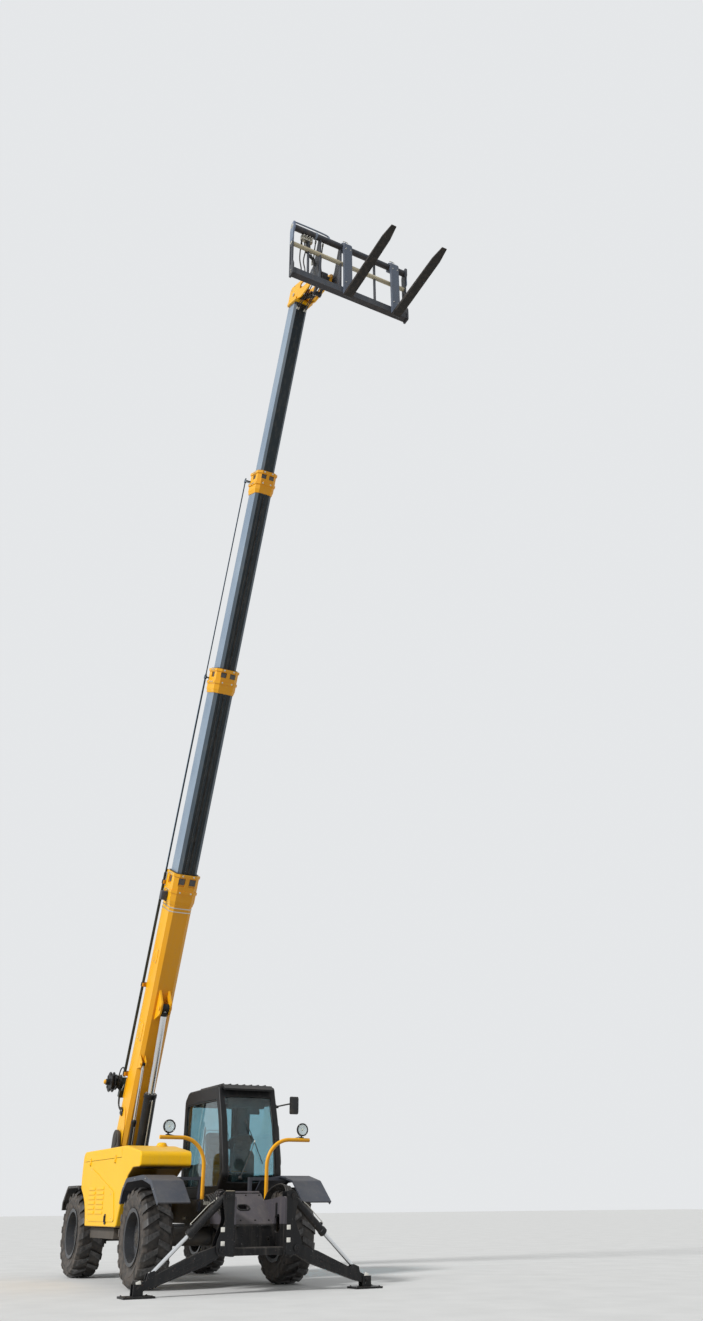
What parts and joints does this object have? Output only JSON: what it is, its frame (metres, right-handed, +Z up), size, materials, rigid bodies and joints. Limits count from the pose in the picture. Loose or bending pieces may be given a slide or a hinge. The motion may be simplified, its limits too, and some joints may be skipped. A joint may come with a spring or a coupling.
{
  "type": "telescopic handler",
  "caption": "Large telescopic handler with its four-part boom raised and extended, a wide fork carriage, front stabilisers down, side cab and side engine pod.",
  "frame": {"origin": "on the ground, below the middle of the machine's overall box", "axes": "+X forward, +Y to the cab side (the machine's left), +Z up"},
  "size_m": [9.7596, 3.394, 15.9507],
  "materials": {
    "yellow_paint": "satin industrial enamel, bright yellow",
    "blue_grey_paint": "satin enamel, pale blue-grey",
    "dark_grey_paint": "satin enamel, dark grey",
    "black_paint": "semi-matt enamel, black",
    "bare_steel": "worn bare steel",
    "chromed_rod": "hard chrome plating",
    "cast_iron": "painted cast iron",
    "wheel_paint": "dusty grey wheel enamel",
    "tyre_rubber": "dusty black rubber",
    "tinted_glass": "teal-tinted safety glass",
    "black_plastic": "grained moulded plastic",
    "seat_cloth": "dark woven seat cloth"
  },
  "bodies": {
    "chassis": {"chassis_frame": "black_paint", "counterweight": "black_paint", "nose": "dark_grey_paint", "stabiliser_mounts": "black_paint", "front_axle": "cast_iron", "rear_axle": "cast_iron", "front_mudguards": "dark_grey_paint", "rear_mudguards": "black_plastic", "cab_shell": "black_paint", "cab_glass": "tinted_glass", "seat": "seat_cloth", "seat_base": "black_plastic", "dashboard": "black_plastic", "pod_body": "yellow_paint", "engine": "cast_iron", "lamp_tubes": "yellow_paint", "work_lamps": "black_plastic", "mirror": "black_plastic", "side_tank": "black_plastic", "cab_steps": "black_paint"},
    "boom_1": {"boom_base": "yellow_paint"},
    "boom_2": {"boom_section_2": "blue_grey_paint", "boom_collar_2": "yellow_paint"},
    "boom_3": {"boom_section_3": "blue_grey_paint", "boom_collar_3": "yellow_paint"},
    "boom_4": {"boom_section_4": "blue_grey_paint", "boom_head": "yellow_paint"},
    "carriage": {"carriage_frame": "dark_grey_paint", "forks": "bare_steel"},
    "lift_barrel": {"lift_barrel": "black_paint"},
    "lift_rod": {"lift_rod": "chromed_rod"},
    "comp_barrel": {"comp_barrel": "black_paint"},
    "comp_rod": {"comp_rod": "chromed_rod"},
    "tilt_barrel": {"tilt_barrel": "black_paint"},
    "tilt_rod": {"tilt_rod": "chromed_rod"},
    "cab_door": {"cab_door": "black_paint", "door_glass": "tinted_glass"},
    "pod_lid": {"pod_lid": "yellow_paint"},
    "stabiliser_right": {"stabiliser_leg_right": "black_paint"},
    "stabiliser_barrel_right": {"stabiliser_barrel_right": "black_paint"},
    "stabiliser_rod_right": {"stabiliser_rod_right": "chromed_rod"},
    "stabiliser_left": {"stabiliser_leg_left": "black_paint"},
    "stabiliser_barrel_left": {"stabiliser_barrel_left": "black_paint"},
    "stabiliser_rod_left": {"stabiliser_rod_left": "chromed_rod"},
    "knuckle_front_right": {"knuckle_front_right": "cast_iron"},
    "wheel_front_right": {"rim_front_right": "wheel_paint", "tyre_front_right": "tyre_rubber"},
    "knuckle_front_left": {"knuckle_front_left": "cast_iron"},
    "wheel_front_left": {"rim_front_left": "wheel_paint", "tyre_front_left": "tyre_rubber"},
    "knuckle_rear_right": {"knuckle_rear_right": "cast_iron"},
    "wheel_rear_right": {"rim_rear_right": "wheel_paint", "tyre_rear_right": "tyre_rubber"},
    "knuckle_rear_left": {"knuckle_rear_left": "cast_iron"},
    "wheel_rear_left": {"rim_rear_left": "wheel_paint", "tyre_rear_left": "tyre_rubber"}
  },
  "joints": [
    {"name": "boom_lift", "type": "hinge", "parent": "chassis", "child": "boom_1", "pos_m": [-4.1528, -0.195, 1.937], "axis": [0, -1, 0], "range_deg": [-68, 4]},
    {"name": "boom_extend_2", "type": "slide", "parent": "boom_1", "child": "boom_2", "axis": [0.4067, 0, 0.9135], "range_m": [-3, 0]},
    {"name": "boom_extend_3", "type": "slide", "parent": "boom_2", "child": "boom_3", "axis": [0.4067, 0, 0.9135], "range_m": [-3.001, 0.001]},
    {"name": "boom_extend_4", "type": "slide", "parent": "boom_3", "child": "boom_4", "axis": [0.4067, 0, 0.9135], "range_m": [-3.001, 0.001]},
    {"name": "carriage_tilt", "type": "hinge", "parent": "boom_4", "child": "carriage", "pos_m": [2.90979, -0.195, 15.34124], "axis": [0, 1, 0], "range_deg": [-78, 36]},
    {"name": "lift_barrel_swing", "type": "hinge", "parent": "chassis", "child": "lift_barrel", "pos_m": [-3.76979, -0.195, 0.96], "axis": [0, -1, 0], "range_deg": [-55.7, 3.5]},
    {"name": "lift_rod_slide", "type": "slide", "parent": "lift_barrel", "child": "lift_rod", "axis": [0.3059, 0, 0.9521], "range_m": [-1.0456, 0.0634]},
    {"name": "comp_barrel_swing", "type": "hinge", "parent": "chassis", "child": "comp_barrel", "pos_m": [-3.7998, -0.345, 1.33], "axis": [0, -1, 0], "range_deg": [-57.4, 3.6]},
    {"name": "comp_rod_slide", "type": "slide", "parent": "comp_barrel", "child": "comp_rod", "axis": [0.2864, 0, 0.9581], "range_m": [-0.7483, 0.0459]},
    {"name": "tilt_barrel_swing", "type": "hinge", "parent": "boom_4", "child": "tilt_barrel", "pos_m": [2.02666, -0.195, 15.66876], "axis": [0, -1, 0], "range_deg": [-3, 6.1]},
    {"name": "tilt_rod_slide", "type": "slide", "parent": "tilt_barrel", "child": "tilt_rod", "axis": [0.7793, 0, -0.6267], "range_m": [-0.1693, 0.3645]},
    {"name": "stabiliser_right_fold", "type": "hinge", "parent": "chassis", "child": "stabiliser_right", "pos_m": [0.91521, -0.5, 0.47], "axis": [-1, 0, 0], "range_deg": [0, 57]},
    {"name": "stabiliser_right_barrel_swing", "type": "hinge", "parent": "chassis", "child": "stabiliser_barrel_right", "pos_m": [0.91521, -0.45, 1.05], "axis": [-1, 0, 0], "range_deg": [-0.2, 40.9]},
    {"name": "stabiliser_right_rod_slide", "type": "slide", "parent": "stabiliser_barrel_right", "child": "stabiliser_rod_right", "axis": [0, -0.7402, -0.6724], "range_m": [-0.4848, 0.002]},
    {"name": "stabiliser_left_fold", "type": "hinge", "parent": "chassis", "child": "stabiliser_left", "pos_m": [0.91521, 0.5, 0.47], "axis": [1, 0, 0], "range_deg": [0, 57]},
    {"name": "stabiliser_left_barrel_swing", "type": "hinge", "parent": "chassis", "child": "stabiliser_barrel_left", "pos_m": [0.91521, 0.45, 1.05], "axis": [1, 0, 0], "range_deg": [-0.2, 40.9]},
    {"name": "stabiliser_left_rod_slide", "type": "slide", "parent": "stabiliser_barrel_left", "child": "stabiliser_rod_left", "axis": [0, 0.7402, -0.6724], "range_m": [-0.4848, 0.002]},
    {"name": "front_steer_right", "type": "hinge", "parent": "chassis", "child": "knuckle_front_right", "pos_m": [-0.4698, -0.815, 0.588], "axis": [0, 0, 1], "range_deg": [-28, 28]},
    {"name": "front_wheel_right", "type": "hinge", "parent": "knuckle_front_right", "child": "wheel_front_right", "pos_m": [-0.4698, -1.007, 0.588], "axis": [0, 1, 0], "continuous": true},
    {"name": "front_steer_left", "type": "hinge", "parent": "chassis", "child": "knuckle_front_left", "pos_m": [-0.4698, 0.815, 0.588], "axis": [0, 0, 1], "range_deg": [-28.1, 28.1]},
    {"name": "front_wheel_left", "type": "hinge", "parent": "knuckle_front_left", "child": "wheel_front_left", "pos_m": [-0.4698, 1.007, 0.588], "axis": [0, 1, 0], "continuous": true},
    {"name": "rear_steer_right", "type": "hinge", "parent": "chassis", "child": "knuckle_rear_right", "pos_m": [-3.53979, -0.815, 0.588], "axis": [0, 0, 1], "range_deg": [-28, 28]},
    {"name": "rear_wheel_right", "type": "hinge", "parent": "knuckle_rear_right", "child": "wheel_rear_right", "pos_m": [-3.53979, -1.007, 0.588], "axis": [0, 1, 0], "continuous": true},
    {"name": "rear_steer_left", "type": "hinge", "parent": "chassis", "child": "knuckle_rear_left", "pos_m": [-3.53979, 0.815, 0.588], "axis": [0, 0, 1], "range_deg": [-28.1, 28.1]},
    {"name": "rear_wheel_left", "type": "hinge", "parent": "knuckle_rear_left", "child": "wheel_rear_left", "pos_m": [-3.53979, 1.007, 0.588], "axis": [0, 1, 0], "continuous": true},
    {"name": "cab_door_hinge", "type": "hinge", "parent": "chassis", "child": "cab_door", "pos_m": [-2.3028, 1.167, 1.7], "axis": [0, 0, 1], "range_deg": [0, 80]},
    {"name": "pod_lid_hinge", "type": "hinge", "parent": "chassis", "child": "pod_lid", "pos_m": [-2.1698, -0.499, 1.714], "axis": [-1, 0, 0], "range_deg": [0, 55]}
  ],
  "couplings": [
    {"joint": "boom_extend_3", "follows": "boom_extend_2", "ratio": 1},
    {"joint": "boom_extend_4", "follows": "boom_extend_2", "ratio": 1},
    {"joint": "lift_barrel_swing", "follows": "boom_lift", "ratio": 0.81526},
    {"joint": "lift_rod_slide", "follows": "boom_lift", "m_per_rad": 0.87932},
    {"joint": "comp_barrel_swing", "follows": "boom_lift", "ratio": 0.84016},
    {"joint": "comp_rod_slide", "follows": "boom_lift", "m_per_rad": 0.62885},
    {"joint": "tilt_barrel_swing", "follows": "carriage_tilt", "ratio": -0.0753},
    {"joint": "tilt_rod_slide", "follows": "carriage_tilt", "m_per_rad": -0.26624},
    {"joint": "stabiliser_right_barrel_swing", "follows": "stabiliser_right_fold", "ratio": 0.71389},
    {"joint": "stabiliser_right_rod_slide", "follows": "stabiliser_right_fold", "m_per_rad": -0.4853},
    {"joint": "stabiliser_left_barrel_swing", "follows": "stabiliser_left_fold", "ratio": 0.71389},
    {"joint": "stabiliser_left_rod_slide", "follows": "stabiliser_left_fold", "m_per_rad": -0.4853},
    {"joint": "front_steer_left", "follows": "front_steer_right", "ratio": 1},
    {"joint": "rear_steer_left", "follows": "rear_steer_right", "ratio": 1}
  ]
}
